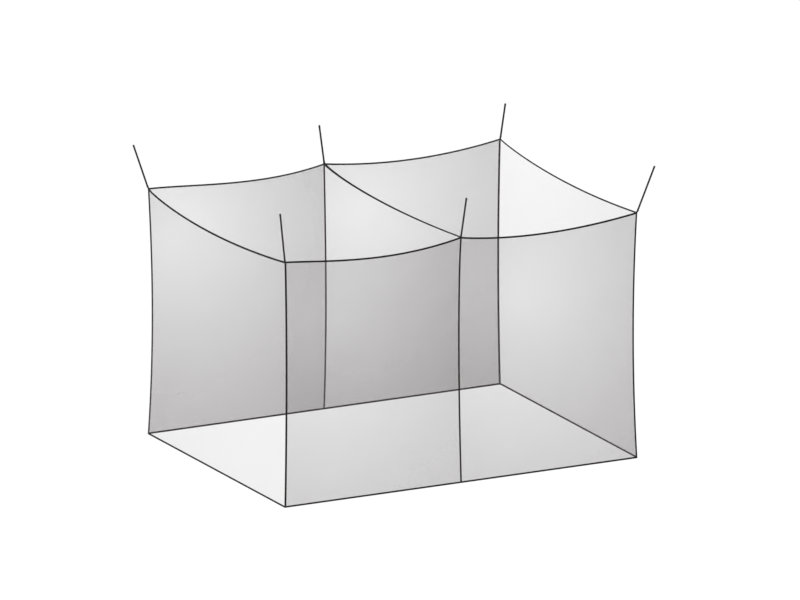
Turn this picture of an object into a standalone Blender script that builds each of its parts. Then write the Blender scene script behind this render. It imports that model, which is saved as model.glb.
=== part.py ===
"""Rectangular mosquito net canopy, hung over a bed from six cords.

Two roof panels and six wall panels of fine netting meet along taped seams. The top edges sag
between the six lifting corners and the upright seams bow inwards, each by its own amount.

Metres, +Z up. X runs along the bed and Y across it, with the front at -Y. The origin is midway
between the cords' upper ends, at the level of the highest one, and the net hangs below it.
"""

from collections import namedtuple
from math import log

import bmesh
import bpy
from mathutils import Vector

# The net as it hangs
NET_LENGTH = 2.320
NET_WIDTH = 1.760
NET_HEIGHT = 1.500
EDGE_PULL = 0.006  # how far the roof draws each top edge in, at its lowest place

# Cloth and tape
NET_SHEET = 0.0010
TAPE_SHEET = 0.0010
WIDE_LEG = 0.0090  # width of a folded tape down a wall from its top edge, or on a long wall
NARROW_LEG = 0.0030  # width of its other half, on the roof or on an end wall
MIDDLE_LEG = 0.0055  # width to each side of the seams down the middles of the long walls
ROOF_LEG = 0.0090  # width to each side of the seam across the roof
HEM_LEG = 0.0095  # height of the tape folded round the bottom edge
HEM_BAND = 0.0115  # the walls hang plumb this far up from the bottom
FIT_GAP = 0.0006  # between pieces that touch, before their facets take some of it

# Cords
CORD_DIAMETER = 0.011
CORD_STEP = 2.5 * CORD_DIAMETER  # between the points of a cord's route
CORD_START = 0.0060  # from a lifting corner's point to the cord's lower end

# Cells of the cloth between the tapes
HALF_LENGTH_CELLS = 10
WIDTH_CELLS = 12
HEIGHT_CELLS = 9

MERGE_DISTANCE = 1e-6
FOLD_ANGLE = 0.6  # radians; the cloth is shaded as folded where its faces turn more than this

# side_x and side_y: where the corner is in plan. bow: how far its seam bows in, along X and Y
# where the corner has that side. bow_at: where the seam bows most, as a share of the way down.
# cord_out and cord_rise: where the cord's end is, counted from the corner.
LiftPoint = namedtuple("LiftPoint", "name side_x side_y bow bow_at cord_out cord_rise")
LIFT_POINTS = {
    point.name: point
    for point in (
        LiftPoint("back_left", -1, 1, 0.0165, 0.52, 0.065, 0.257),
        LiftPoint("back_middle", 0, 1, 0.0230, 0.56, 0.065, 0.218),
        LiftPoint("back_right", 1, 1, 0.0220, 0.50, 0.068, 0.189),
        LiftPoint("front_left", -1, -1, 0.0160, 0.47, 0.064, 0.318),
        LiftPoint("front_middle", 0, -1, 0.0280, 0.42, 0.071, 0.257),
        LiftPoint("front_right", 1, -1, 0.0150, 0.50, 0.077, 0.292),
    )
}

# The sagging seams between two lifting corners. lowest_at: where a seam is lowest, as a share of
# the way from its start.
Span = namedtuple("Span", "name start end sag lowest_at")
SPANS = {
    span.name: span
    for span in (
        Span("back_left", "back_left", "back_middle", 0.038, 0.62),
        Span("back_right", "back_middle", "back_right", 0.045, 0.50),
        Span("front_left", "front_left", "front_middle", 0.051, 0.57),
        Span("front_right", "front_middle", "front_right", 0.048, 0.48),
        Span("end_left", "back_left", "front_left", 0.066, 0.42),
        Span("end_right", "back_right", "front_right", 0.045, 0.45),
        Span("roof_middle", "back_middle", "front_middle", 0.046, 0.40),
    )
}

LEFT, RIGHT = Vector((-1, 0, 0)), Vector((1, 0, 0))
FRONT, BACK = Vector((0, -1, 0)), Vector((0, 1, 0))
UP = Vector((0, 0, 1))

# The way that each wall faces. A wall is named for the span along its top.
WALL_SIDES = {
    "front_left": FRONT,
    "front_right": FRONT,
    "back_left": BACK,
    "back_right": BACK,
    "end_left": LEFT,
    "end_right": RIGHT,
}

# The four spans round each roof panel
Roof = namedtuple("Roof", "name left right back front")
ROOFS = (
    Roof("roof_left", "end_left", "roof_middle", "back_left", "front_left"),
    Roof("roof_right", "roof_middle", "end_right", "back_right", "front_right"),
)

# The spans in order round the top edge, and whether each is walked from its end to its start
TOP_EDGE = (
    ("back_left", False),
    ("back_right", False),
    ("end_right", False),
    ("front_right", True),
    ("front_left", True),
    ("end_left", True),
)

# Worked out from the sizes above
LIFT_Z = -max(point.cord_rise for point in LIFT_POINTS.values())
HEM_Z = LIFT_Z - NET_HEIGHT
TAPE_CLEARANCE = NET_SHEET / 2 + FIT_GAP  # from a sheet's middle to a tape's near face
SEAM_START = WIDE_LEG + FIT_GAP  # where an upright tape begins below the top binding
ROOF_SEAM_START = NARROW_LEG + FIT_GAP  # where the roof's tape begins beside the top binding
SEAM_END = NET_HEIGHT - HEM_LEG - FIT_GAP
WALL_FOOT = TAPE_SHEET + FIT_GAP  # the walls end this far above the bottom


# ---------------------------------------------------------------- the net's form


def swell(share, peak_at):
    """A curve from 0 up to 1 at peak_at and back to 0, along a length from 0 to 1."""
    even = share ** (log(0.5) / log(peak_at))
    return 4 * even * (1 - even)


def corner(point, height):
    return Vector((point.side_x * NET_LENGTH / 2, point.side_y * NET_WIDTH / 2, height))


def span_length(span):
    start, end = LIFT_POINTS[span.start], LIFT_POINTS[span.end]
    return (corner(end, 0) - corner(start, 0)).length


def span_point(span, share):
    """A place on a sagging seam, at a share of its way from start to end."""
    start, end = LIFT_POINTS[span.start], LIFT_POINTS[span.end]
    depth = swell(share, span.lowest_at)
    inwards = -WALL_SIDES.get(span.name, Vector())
    place = corner(start, LIFT_Z).lerp(corner(end, LIFT_Z), share)
    return place - UP * span.sag * depth + inwards * EDGE_PULL * depth


def upright_point(point, down):
    """A place on the upright seam below a lifting corner, at a share of its way down."""
    place = corner(point, LIFT_Z).lerp(corner(point, HEM_Z), down)
    bowed = down / (1 - HEM_BAND / NET_HEIGHT)
    if bowed >= 1:
        return place
    inwards = Vector((-point.side_x, -point.side_y, 0))
    return place + inwards * point.bow * swell(bowed, point.bow_at)


def between_edges(near, far, first, last, along, across):
    """A smooth sheet stretched between four edges, as a Coons patch.

    near and far are edges that run along, first and last are edges that run across.
    """
    ruled = near(along).lerp(far(along), across) + first(across).lerp(last(across), along)
    flat = near(0).lerp(near(1), along).lerp(far(0).lerp(far(1), along), across)
    return ruled - flat


def wall_point(name, along, down):
    span = SPANS[name]
    start, end = LIFT_POINTS[span.start], LIFT_POINTS[span.end]
    return between_edges(
        lambda share: span_point(span, share),
        lambda share: corner(start, HEM_Z).lerp(corner(end, HEM_Z), share),
        lambda share: upright_point(start, share),
        lambda share: upright_point(end, share),
        along,
        down,
    )


def roof_point(roof, along, forwards):
    """A place on a roof panel: along X from its left, and forwards from its back."""
    return between_edges(
        lambda share: span_point(SPANS[roof.back], share),
        lambda share: span_point(SPANS[roof.front], share),
        lambda share: span_point(SPANS[roof.left], share),
        lambda share: span_point(SPANS[roof.right], share),
        along,
        forwards,
    )


# ---------------------------------------------------------------- making meshes


def make_material(name, colour, roughness, alpha=1.0):
    material = bpy.data.materials.new(name)
    material.use_nodes = True
    shader = material.node_tree.nodes["Principled BSDF"]
    shader.inputs["Base Color"].default_value = (*colour, 1.0)
    shader.inputs["Roughness"].default_value = roughness
    shader.inputs["Metallic"].default_value = 0.0
    shader.inputs["Alpha"].default_value = alpha
    material.diffuse_color = (*colour, alpha)
    return material


def add_object(name, data, material, collection):
    data.materials.append(material)
    part = bpy.data.objects.new(name, data)
    collection.objects.link(part)
    return part


def placed_grid(columns, rows, place, outwards=None):
    """A grid whose point in each column and row is put at place(column, row), as a bmesh.

    Points that fall together are merged. With outwards given, the faces are turned that way.
    """
    grid = bmesh.new()
    bmesh.ops.create_grid(grid, x_segments=columns - 1, y_segments=rows - 1, size=0.5)
    for vertex in grid.verts:
        column = round((vertex.co.x + 0.5) * (columns - 1))
        row = round((vertex.co.y + 0.5) * (rows - 1))
        vertex.co = place(column, row)
    bmesh.ops.remove_doubles(grid, verts=grid.verts, dist=MERGE_DISTANCE)
    grid.normal_update()
    if outwards is None:
        bmesh.ops.recalc_face_normals(grid, faces=grid.faces)
    elif sum((face.normal * face.calc_area() for face in grid.faces), Vector()).dot(outwards) < 0:
        bmesh.ops.reverse_faces(grid, faces=grid.faces)
    return grid


def mesh_from(grid, name):
    mesh = bpy.data.meshes.new(name)
    grid.to_mesh(mesh)
    grid.free()
    mesh.shade_smooth()
    mesh.set_sharp_from_angle(angle=FOLD_ANGLE)
    return mesh


def thicken(part, thickness, offset):
    """Gives a sheet its thickness: offset 0 to both sides of it, or 1 outwards only."""
    solidify = part.modifiers.new("thickness", "SOLIDIFY")
    solidify.thickness = thickness
    solidify.offset = offset
    solidify.use_even_offset = True


def stations(length, cells, near_trim, far_trim, near_band, far_band):
    """Places along a sheet, as shares: its trimmed ends, the tapes' edges and even steps between."""
    step = (length - near_band - far_band) / cells
    even = [near_band + step * k for k in range(cells + 1)]
    return [place / length for place in (near_trim, *even, length - far_trim)]


# ---------------------------------------------------------------- cloth


def side_trim(point):
    """How far a wall stops short of an upright seam: more where another wall crosses its edge."""
    return TAPE_CLEARANCE if point.side_x else FIT_GAP / 2


def side_leg(name):
    """How wide the corner tapes are on a wall."""
    return NARROW_LEG if name.startswith("end") else WIDE_LEG


def add_wall(name, material, collection):
    span = SPANS[name]
    along = stations(
        span_length(span),
        WIDTH_CELLS if name.startswith("end") else HALF_LENGTH_CELLS,
        side_trim(LIFT_POINTS[span.start]),
        side_trim(LIFT_POINTS[span.end]),
        side_leg(name),
        side_leg(name),
    )
    down = stations(NET_HEIGHT, HEIGHT_CELLS, TAPE_CLEARANCE, WALL_FOOT, WIDE_LEG, HEM_BAND)
    grid = placed_grid(
        len(along),
        len(down),
        lambda column, row: wall_point(name, along[column], down[row]),
        outwards=WALL_SIDES[name],
    )
    wall = add_object(f"wall_{name}", mesh_from(grid, f"wall_{name}"), material, collection)
    thicken(wall, NET_SHEET, 0)


def add_roof(roof, material, collection):
    left_trim, right_trim = (
        FIT_GAP / 2 if side == "roof_middle" else TAPE_CLEARANCE for side in (roof.left, roof.right)
    )
    left_band, right_band = (
        ROOF_LEG if side == "roof_middle" else NARROW_LEG for side in (roof.left, roof.right)
    )
    along = stations(
        NET_LENGTH / 2, HALF_LENGTH_CELLS, left_trim, right_trim, left_band, right_band
    )
    forwards = stations(
        NET_WIDTH, WIDTH_CELLS, TAPE_CLEARANCE, TAPE_CLEARANCE, NARROW_LEG, NARROW_LEG
    )
    grid = placed_grid(
        len(along),
        len(forwards),
        lambda column, row: roof_point(roof, along[column], forwards[row]),
        outwards=UP,
    )
    panel = add_object(roof.name, mesh_from(grid, roof.name), material, collection)
    thicken(panel, NET_SHEET, 0)


# ---------------------------------------------------------------- tapes


def add_tape(name, grid, material, collection):
    tape = add_object(name, mesh_from(grid, name), material, collection)
    thicken(tape, TAPE_SHEET, 1)


def roof_beside(span_name, share):
    """The place on the roof panel where the top binding ends, in from a top edge."""
    roof = next(r for r in ROOFS if span_name in (r.left, r.right, r.back, r.front))
    side = NARROW_LEG / (NET_LENGTH / 2)
    depth = NARROW_LEG / NET_WIDTH
    if span_name == roof.left:
        return roof_point(roof, side, min(max(share, depth), 1 - depth))
    if span_name == roof.right:
        return roof_point(roof, 1 - side, min(max(share, depth), 1 - depth))
    low = side if roof.left != "roof_middle" else 0
    high = 1 - side if roof.right != "roof_middle" else 1
    along = min(max(share, low), high)
    return roof_point(roof, along, depth if span_name == roof.back else 1 - depth)


def top_binding_section(span_name, share):
    """The roof edge, fold and wall edge of the top binding, clear of the sheets below it."""
    span = SPANS[span_name]
    faces = WALL_SIDES[span_name]
    if share in (0, 1):
        point = LIFT_POINTS[span.start if share == 0 else span.end]
        faces = Vector((point.side_x, point.side_y, 0))
    return (
        roof_beside(span_name, share) + UP * TAPE_CLEARANCE,
        span_point(span, share) + (UP + faces) * TAPE_CLEARANCE,
        wall_point(span_name, share, WIDE_LEG / NET_HEIGHT) + faces * TAPE_CLEARANCE,
    )


def add_top_binding(material, collection):
    sections = []
    for span_name, backwards in TOP_EDGE:
        cells = WIDTH_CELLS if span_name.startswith("end") else HALF_LENGTH_CELLS
        shares = stations(span_length(SPANS[span_name]), cells, 0, 0, NARROW_LEG, NARROW_LEG)
        shares = shares[:0:-1] if backwards else shares[:-1]
        sections += [top_binding_section(span_name, share) for share in shares]
    sections.append(sections[0])
    grid = placed_grid(
        len(sections), len(sections[0]), lambda column, row: sections[column][row], outwards=UP
    )
    add_tape("top_binding", grid, material, collection)


def add_seam_tape(point, material, collection):
    """The tape down an upright seam, folded round the corner or flat over the wall's middle."""
    heights = stations(NET_HEIGHT, HEIGHT_CELLS, 0, NET_HEIGHT - SEAM_END, WIDE_LEG, HEM_BAND)
    downs = [SEAM_START / NET_HEIGHT, *heights[2:]]
    first, last = [SPANS[n] for n in WALL_SIDES if point.name in (SPANS[n].start, SPANS[n].end)]

    def beside(span, down):
        leg = (side_leg(span.name) if point.side_x else MIDDLE_LEG) / span_length(span)
        along = leg if span.start == point.name else 1 - leg
        return wall_point(span.name, along, down) + WALL_SIDES[span.name] * TAPE_CLEARANCE

    faces = Vector((point.side_x, point.side_y, 0))
    sections = [
        (
            beside(first, down),
            upright_point(point, down) + faces * TAPE_CLEARANCE,
            beside(last, down),
        )
        for down in downs
    ]
    grid = placed_grid(
        len(sections), len(sections[0]), lambda column, row: sections[column][row], outwards=faces
    )
    add_tape(f"seam_tape_{point.name}", grid, material, collection)


def add_roof_seam_tape(material, collection):
    evens = stations(NET_WIDTH, WIDTH_CELLS, 0, 0, NARROW_LEG, NARROW_LEG)
    start = ROOF_SEAM_START / NET_WIDTH
    shares = [start, *evens[2:-2], 1 - start]
    leg = ROOF_LEG / (NET_LENGTH / 2)
    left, right = ROOFS
    sections = [
        (
            roof_point(left, 1 - leg, share) + UP * TAPE_CLEARANCE,
            span_point(SPANS["roof_middle"], share) + UP * TAPE_CLEARANCE,
            roof_point(right, leg, share) + UP * TAPE_CLEARANCE,
        )
        for share in shares
    ]
    grid = placed_grid(
        len(sections), len(sections[0]), lambda column, row: sections[column][row], outwards=UP
    )
    add_tape("roof_seam_tape", grid, material, collection)


def add_hem_binding(material, collection):
    """The channel of folded tape that holds the walls' bottom edge, mitred at the corners."""
    slot = TAPE_CLEARANCE
    face = TAPE_CLEARANCE + TAPE_SHEET
    channel = (  # out from the wall's middle, and up from the bottom
        (face, 0),
        (face, HEM_LEG),
        (slot, HEM_LEG),
        (slot, TAPE_SHEET),
        (-slot, TAPE_SHEET),
        (-slot, HEM_LEG),
        (-face, HEM_LEG),
        (-face, 0),
    )
    corners = ((-1, -1), (1, -1), (1, 1), (-1, 1))

    def place(column, row):
        side_x, side_y = corners[column % len(corners)]
        out, up = channel[row % len(channel)]
        return Vector(
            (side_x * (NET_LENGTH / 2 + out), side_y * (NET_WIDTH / 2 + out), HEM_Z + up)
        )

    grid = placed_grid(len(corners) + 1, len(channel) + 1, place)
    add_object("hem_binding", mesh_from(grid, "hem_binding"), material, collection)


# ---------------------------------------------------------------- cords


def cord_ends(point):
    """A cord's lower end beside its corner, and its upper end."""
    foot = corner(point, LIFT_Z)
    reach = Vector((point.side_x, point.side_y, 0)) * point.cord_out + UP * point.cord_rise
    return foot + reach.normalized() * CORD_START, foot + reach


def add_cord(point, material, collection):
    low, high = cord_ends(point)
    steps = round((high - low).length / CORD_STEP)
    curve = bpy.data.curves.new(f"cord_{point.name}", "CURVE")
    curve.dimensions = "3D"
    curve.bevel_depth = CORD_DIAMETER / 2
    curve.bevel_resolution = 2
    curve.use_fill_caps = True
    spline = curve.splines.new("POLY")
    spline.points.add(steps)
    for step, spot in enumerate(spline.points):
        spot.co = (*low.lerp(high, step / steps), 1)
    add_object(f"cord_{point.name}", curve, material, collection)


def main():
    for old in list(bpy.data.objects):
        bpy.data.objects.remove(old, do_unlink=True)
    collection = bpy.data.collections.new("mosquito_net_canopy")
    bpy.context.scene.collection.children.link(collection)

    netting = make_material("netting", (0.17, 0.15, 0.155), 0.85, alpha=0.30)
    tape = make_material("binding_tape", (0.022, 0.021, 0.023), 0.80)
    braid = make_material("braided_cord", (0.026, 0.025, 0.027), 0.70)

    for roof in ROOFS:
        add_roof(roof, netting, collection)
    for name in WALL_SIDES:
        add_wall(name, netting, collection)
    add_top_binding(tape, collection)
    add_hem_binding(tape, collection)
    add_roof_seam_tape(tape, collection)
    for point in LIFT_POINTS.values():
        add_seam_tape(point, tape, collection)
        add_cord(point, braid, collection)


main()
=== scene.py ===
"""Looks of the rectangular mosquito net canopy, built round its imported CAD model.

Eight sheets of fine hexagonal netting hang between black woven tapes, which are sewn on with
rows of stitches. Six braided cords, each with a sewn foot and a bound plain end, hold it up.

Metres, +Z up. X runs along the bed and Y across it, with the front at -Y, as in the CAD model.
"""

import logging
import math
from collections.abc import Callable, Sequence
from dataclasses import dataclass, field
from enum import Enum
from functools import partial
from itertools import accumulate

import bmesh
import bpy
import numpy as np
from mathutils import Matrix, Vector
from mathutils.bvhtree import BVHTree


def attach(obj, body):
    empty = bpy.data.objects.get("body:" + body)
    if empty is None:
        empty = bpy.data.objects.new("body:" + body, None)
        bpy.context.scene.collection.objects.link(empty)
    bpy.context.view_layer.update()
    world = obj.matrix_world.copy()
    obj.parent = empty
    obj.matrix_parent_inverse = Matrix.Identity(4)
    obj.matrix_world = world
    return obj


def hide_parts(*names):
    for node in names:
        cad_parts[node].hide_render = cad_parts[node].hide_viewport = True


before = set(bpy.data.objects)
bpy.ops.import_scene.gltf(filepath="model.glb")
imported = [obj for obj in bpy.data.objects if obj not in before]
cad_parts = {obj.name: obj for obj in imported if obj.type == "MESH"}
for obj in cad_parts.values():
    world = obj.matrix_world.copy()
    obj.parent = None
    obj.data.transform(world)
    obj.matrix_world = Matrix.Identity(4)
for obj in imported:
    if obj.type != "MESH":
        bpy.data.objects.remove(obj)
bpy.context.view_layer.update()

log = logging.getLogger("mosquito_net")

MERGE_DISTANCE = 1e-6
FULL_TURN = 2 * math.pi
UP = Vector((0, 0, 1))
CLOTH_MAP = "cloth"

Colour = tuple[float, float, float]
Edge = Callable[[float], Vector]


# ---------------------------------------------------------------- the net's form


class Facing(Enum):
    """The way that a wall faces. The seam across the roof is over no wall."""

    FRONT = (0.0, -1.0, 0.0)
    BACK = (0.0, 1.0, 0.0)
    LEFT = (-1.0, 0.0, 0.0)
    RIGHT = (1.0, 0.0, 0.0)
    NO_WALL = (0.0, 0.0, 0.0)

    @property
    def way(self) -> Vector:
        """The outward direction."""
        return Vector(self.value)


@dataclass(frozen=True)
class LiftPoint:
    """A corner or wall middle that a cord lifts, and the upright seam below it."""

    name: str
    side_x: int
    side_y: int
    bow: float
    bow_at: float
    cord_out: float
    cord_rise: float

    @property
    def outwards(self) -> Vector:
        """The level direction away from the net's middle."""
        return Vector((self.side_x, self.side_y, 0))


@dataclass(frozen=True)
class Span:
    """A sagging seam between two lifting corners, and the way that the wall below it faces."""

    name: str
    start: str
    end: str
    sag: float
    lowest_at: float
    facing: Facing

    @property
    def ends(self) -> tuple[LiftPoint, LiftPoint]:
        """The lifting corners at its start and its end."""
        return LIFT_POINTS[self.start], LIFT_POINTS[self.end]


@dataclass(frozen=True)
class RoofPlan:
    """A roof panel and the four spans round it."""

    name: str
    left: str
    right: str
    back: str
    front: str


LIFT_POINTS: dict[str, LiftPoint] = {
    point.name: point
    for point in (
        LiftPoint("back_left", -1, 1, 0.0165, 0.52, 0.065, 0.257),
        LiftPoint("back_middle", 0, 1, 0.0230, 0.56, 0.065, 0.218),
        LiftPoint("back_right", 1, 1, 0.0220, 0.50, 0.068, 0.189),
        LiftPoint("front_left", -1, -1, 0.0160, 0.47, 0.064, 0.318),
        LiftPoint("front_middle", 0, -1, 0.0280, 0.42, 0.071, 0.257),
        LiftPoint("front_right", 1, -1, 0.0150, 0.50, 0.077, 0.292),
    )
}

SPANS: dict[str, Span] = {
    span.name: span
    for span in (
        Span("front_left", "front_left", "front_middle", 0.051, 0.57, Facing.FRONT),
        Span("front_right", "front_middle", "front_right", 0.048, 0.48, Facing.FRONT),
        Span("back_left", "back_left", "back_middle", 0.038, 0.62, Facing.BACK),
        Span("back_right", "back_middle", "back_right", 0.045, 0.50, Facing.BACK),
        Span("end_left", "back_left", "front_left", 0.066, 0.42, Facing.LEFT),
        Span("end_right", "back_right", "front_right", 0.045, 0.45, Facing.RIGHT),
        Span("roof_middle", "back_middle", "front_middle", 0.046, 0.40, Facing.NO_WALL),
    )
}

# The spans that have a wall below them, which is named for its span
WALLS = tuple(span for span in SPANS.values() if span.facing is not Facing.NO_WALL)

ROOFS = (
    RoofPlan("roof_left", "end_left", "roof_middle", "back_left", "front_left"),
    RoofPlan("roof_right", "roof_middle", "end_right", "back_right", "front_right"),
)

# The spans in order round the top edge, and whether each is walked from its end to its start
TOP_EDGE = (
    ("back_left", False),
    ("back_right", False),
    ("end_right", False),
    ("front_right", True),
    ("front_left", True),
    ("end_left", True),
)

# The corners in plan, in order round the bottom edge
PLAN_CORNERS = ((-1, -1), (1, -1), (1, 1), (-1, 1))


def swell(share: float, peak_at: float) -> float:
    """A curve from 0 up to 1 at peak_at and back to 0, read at a share of its length."""
    even = max(share, 0.0) ** (math.log(0.5) / math.log(peak_at))
    return 4 * even * (1 - even)


def rise(value: float, low: float, high: float) -> float:
    """A soft step from 0 at low to 1 at high, read at a value."""
    share = min(max((value - low) / (high - low), 0.0), 1.0)
    return share * share * (3 - 2 * share)


@dataclass(frozen=True)
class NetForm:
    """The shape in which the net hangs, as the CAD model has it."""

    length: float = 2.320
    width: float = 1.760
    height: float = 1.500
    lift_z: float = -0.318
    edge_pull: float = 0.006
    hem_band: float = 0.0115

    @property
    def hem_z(self) -> float:
        """The height of the net's bottom edge."""
        return self.lift_z - self.height

    def plan(self, side_x: int, side_y: int, height: float, out: float = 0.0) -> Vector:
        """The place over a corner or middle of the plan, at a height, and further out by out."""
        return Vector(
            (side_x * (self.length / 2 + out), side_y * (self.width / 2 + out), height)
        )

    def corner(self, point: LiftPoint, height: float) -> Vector:
        """The place of a lifting corner in plan, at a height."""
        return self.plan(point.side_x, point.side_y, height)

    def span_length(self, span: Span) -> float:
        """The straight length between a span's two corners."""
        start, end = span.ends
        return (self.corner(end, 0) - self.corner(start, 0)).length

    def span_point(self, span: Span, share: float) -> Vector:
        """A place on a sagging seam.

        Args:
            span: The seam.
            share: The share of its way from start to end.

        Returns:
            The place.
        """
        start, end = span.ends
        depth = swell(share, span.lowest_at)
        place = self.corner(start, self.lift_z).lerp(self.corner(end, self.lift_z), share)
        return place - UP * span.sag * depth - span.facing.way * self.edge_pull * depth

    def upright_point(self, point: LiftPoint, down: float) -> Vector:
        """A place on the upright seam below a lifting corner.

        Args:
            point: The lifting corner.
            down: The share of the way down.

        Returns:
            The place.
        """
        place = self.corner(point, self.lift_z).lerp(self.corner(point, self.hem_z), down)
        bowed = down / (1 - self.hem_band / self.height)
        if bowed >= 1:
            return place
        return place - point.outwards * point.bow * swell(bowed, point.bow_at)

    @staticmethod
    def between_edges(
        near: Edge, far: Edge, first: Edge, last: Edge, along: float, across: float
    ) -> Vector:
        """A place on a smooth sheet stretched between four edges.

        Args:
            near: The edge that runs along, at across 0.
            far: The edge that runs along, at across 1.
            first: The edge that runs across, at along 0.
            last: The edge that runs across, at along 1.
            along: The share of the way along.
            across: The share of the way across.

        Returns:
            The place.
        """
        ruled = near(along).lerp(far(along), across) + first(across).lerp(last(across), along)
        flat = near(0).lerp(near(1), along).lerp(far(0).lerp(far(1), along), across)
        return ruled - flat

    def wall_point(self, span: Span, along: float, down: float) -> Vector:
        """A place on the wall below a span.

        Args:
            span: The span.
            along: The share of the way along it.
            down: The share of the way down.

        Returns:
            The place.
        """
        start, end = span.ends
        return self.between_edges(
            partial(self.span_point, span),
            lambda share: self.corner(start, self.hem_z).lerp(self.corner(end, self.hem_z), share),
            partial(self.upright_point, start),
            partial(self.upright_point, end),
            along,
            down,
        )

    def roof_point(self, roof: RoofPlan, along: float, forwards: float) -> Vector:
        """A place on a roof panel.

        Args:
            roof: The panel.
            along: The share of the way along X from its left.
            forwards: The share of the way forwards from its back.

        Returns:
            The place.
        """
        names = (roof.back, roof.front, roof.left, roof.right)
        edges = [partial(self.span_point, SPANS[name]) for name in names]
        return self.between_edges(*edges, along, forwards)


# ---------------------------------------------------------------- shaders


class Signal:
    """A shader socket that can be used in sums, which add their Math nodes."""

    def __init__(self, nodes: "NodeBook", socket: bpy.types.NodeSocket) -> None:
        """Wraps a socket of the nodes' tree."""
        self.nodes = nodes
        self.socket = socket

    def math(self, operation: str, *others: "Signal | float", swapped: bool = False) -> "Signal":
        """Adds a Math node.

        Args:
            operation: The node's operation.
            others: The other values or signals.
            swapped: True if this signal comes last.

        Returns:
            The node's result.
        """
        values = [*others, self] if swapped else [self, *others]
        made = self.nodes.node(
            "ShaderNodeMath", {"operation": operation}, dict(enumerate(values))
        )
        return Signal(self.nodes, made.outputs[0])

    def __add__(self, other: "Signal | float") -> "Signal":
        """The sum."""
        return self.math("ADD", other)

    __radd__ = __add__

    def __sub__(self, other: "Signal | float") -> "Signal":
        """The difference."""
        return self.math("SUBTRACT", other)

    def __rsub__(self, other: float) -> "Signal":
        """A number less this signal."""
        return self.math("SUBTRACT", other, swapped=True)

    def __mul__(self, other: "Signal | float") -> "Signal":
        """The product."""
        return self.math("MULTIPLY", other)

    __rmul__ = __mul__

    def __truediv__(self, other: "Signal | float") -> "Signal":
        """The quotient."""
        return self.math("DIVIDE", other)

    def __abs__(self) -> "Signal":
        """The size without its sign."""
        return self.math("ABSOLUTE")

    def __mod__(self, step: float) -> "Signal":
        """What is left over after whole steps."""
        return self.math("FLOORED_MODULO", step)

    def __gt__(self, other: "Signal | float") -> "Signal":
        """1 where this signal is the greater, or else 0."""
        return self.math("GREATER_THAN", other)


class NodeBook:
    """The nodes of one new material."""

    def __init__(self, name: str, roughness: float, specular: float) -> None:
        """Makes the material.

        Args:
            name: The material's name.
            roughness: The shader's roughness.
            specular: The shader's specular level.
        """
        self.material = bpy.data.materials.new(name)
        self.material.use_nodes = True
        self.tree = self.material.node_tree
        self.shader = self.tree.nodes["Principled BSDF"]
        self.shader.inputs["Roughness"].default_value = roughness
        self.shader.inputs["Specular IOR Level"].default_value = specular

    def node(
        self,
        kind: str,
        settings: dict[str, object] | None = None,
        inputs: dict[str | int, object] | None = None,
    ) -> bpy.types.Node:
        """Adds a node.

        Args:
            kind: The node's type.
            settings: The node's own properties, set first.
            inputs: The values or signals of its sockets, by name or number.

        Returns:
            The node.
        """
        made = self.tree.nodes.new(kind)
        for name, value in (settings or {}).items():
            setattr(made, name, value)
        for key, value in (inputs or {}).items():
            if isinstance(value, Signal):
                self.tree.links.new(value.socket, made.inputs[key])
            else:
                made.inputs[key].default_value = value
        return made

    def cloth_place(self) -> tuple[Signal, Signal]:
        """Reads the piece's own map.

        Returns:
            The map's two numbers.
        """
        place = self.node("ShaderNodeUVMap", {"uv_map": CLOTH_MAP})
        parts = self.node("ShaderNodeSeparateXYZ", None, {0: Signal(self, place.outputs[0])})
        return Signal(self, parts.outputs[0]), Signal(self, parts.outputs[1])

    def noise(self, across: Signal, along: Signal, detail: float = 2.0) -> Signal:
        """Soft cloudy variation from 0 to 1.

        Args:
            across: The first place, in clouds.
            along: The second place, in clouds.
            detail: How many finer layers it has.

        Returns:
            The variation.
        """
        place = self.node("ShaderNodeCombineXYZ", None, {0: across, 1: along})
        cloud = self.node(
            "ShaderNodeTexNoise",
            {"noise_dimensions": "2D"},
            {"Vector": Signal(self, place.outputs[0]), "Scale": 1.0, "Detail": detail},
        )
        return Signal(self, cloud.outputs[0])

    def colour(self, share: Signal, low: Colour, high: Colour) -> None:
        """Gives the surface a colour between two.

        Args:
            share: 0 for the low colour and 1 for the high one.
            low: The first colour.
            high: The second colour.
        """
        colours = {0: share, 6: (*low, 1.0), 7: (*high, 1.0)}
        mix = self.node("ShaderNodeMix", {"data_type": "RGBA"}, colours)
        self.feed("Base Color", Signal(self, mix.outputs[2]))

    def bump(self, height: Signal, distance: float) -> None:
        """Raises the surface's light and shade by a height of 0 to 1, over a distance."""
        made = self.node("ShaderNodeBump", None, {"Height": height, "Distance": distance})
        self.feed("Normal", Signal(self, made.outputs[0]))

    def feed(self, name: str, signal: Signal) -> None:
        """Links a signal to one of the shader's sockets."""
        self.tree.links.new(signal.socket, self.shader.inputs[name])


@dataclass(frozen=True)
class KnitAndShade:
    """Painted shade in one panel's netting, given as its cover: sheerest and lightest at one
    place, and closer and darker away from it, at a level of its own.

    The place is in metres along the panel's top and down from it. The light that the threads
    catch is made up for by gain, and turn is the way that the panel was cut from the roll.
    """

    cover_at_lightest: float
    shade_per_metre: float
    lightest_along: float
    lightest_down: float
    gain: float
    turn: float


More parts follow.
